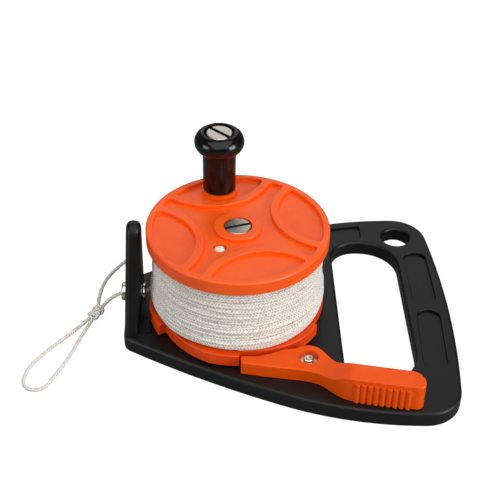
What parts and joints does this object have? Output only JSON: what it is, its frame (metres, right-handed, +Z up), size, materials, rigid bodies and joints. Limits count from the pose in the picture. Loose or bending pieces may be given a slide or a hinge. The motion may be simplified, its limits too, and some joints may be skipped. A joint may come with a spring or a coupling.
{
  "type": "dive reel",
  "caption": "Hand-held dive reel: flat frame with hand grip and line guide, line spool on a ratchet with a winding knob, and a spring-loaded thumb lock lever.",
  "frame": {"origin": "on the spool's axis, in the flat underside of the frame", "axes": "+Z up the spool's axis to the winding knob, +X towards the hand grip, -X towards the line guide"},
  "size_m": [0.222, 0.1584, 0.0974],
  "materials": {
    "frame_plastic": "satin, fine moulded grain",
    "orange_plastic": "semi-gloss moulded",
    "knob_plastic": "gloss",
    "nickel_plate": "bright",
    "bolt_steel": "turned, lightly brushed",
    "insert_brass": "turned",
    "spring_steel": "drawn wire",
    "washer_nylon": "natural nylon",
    "braided_line": "tight round braid",
    "line_bead": "melted line end"
  },
  "bodies": {
    "frame": {"frame": "frame_plastic", "guide_eyelet": "nickel_plate", "guide_eyelet_ring": "nickel_plate", "axle_screw": "bolt_steel", "axle_washer": "bolt_steel", "thrust_washer": "washer_nylon", "axle_nut": "insert_brass", "lever_screw": "nickel_plate", "lever_washer": "nickel_plate", "lever_spring": "spring_steel", "line_lead": "braided_line", "line_knot": "braided_line", "line_loop": "braided_line", "line_tail": "braided_line"},
    "spool": {"spool_drum": "orange_plastic", "spool_flange": "orange_plastic", "line_anchor": "line_bead", "line_core": "braided_line", "line_turns": "braided_line", "knob_screw": "bolt_steel", "knob_insert": "insert_brass"},
    "knob": {"knob": "knob_plastic"},
    "lever": {"lock_lever": "orange_plastic"}
  },
  "joints": [
    {"name": "spool_spin", "type": "hinge", "parent": "frame", "child": "spool", "pos_m": [0, 0, 0.03], "axis": [0, 0, 1], "continuous": true},
    {"name": "knob_spin", "type": "hinge", "parent": "spool", "child": "knob", "pos_m": [-0.0095, 0.0327, 0.08], "axis": [0, 0, 1], "continuous": true},
    {"name": "lever_press", "type": "hinge", "parent": "frame", "child": "lever", "pos_m": [0.0351, -0.0472, 0.0125], "axis": [0, 0, 1], "range_deg": [0, 6], "stiffness_Nm_per_rad": 0.3, "springref_deg": -20.05}
  ]
}
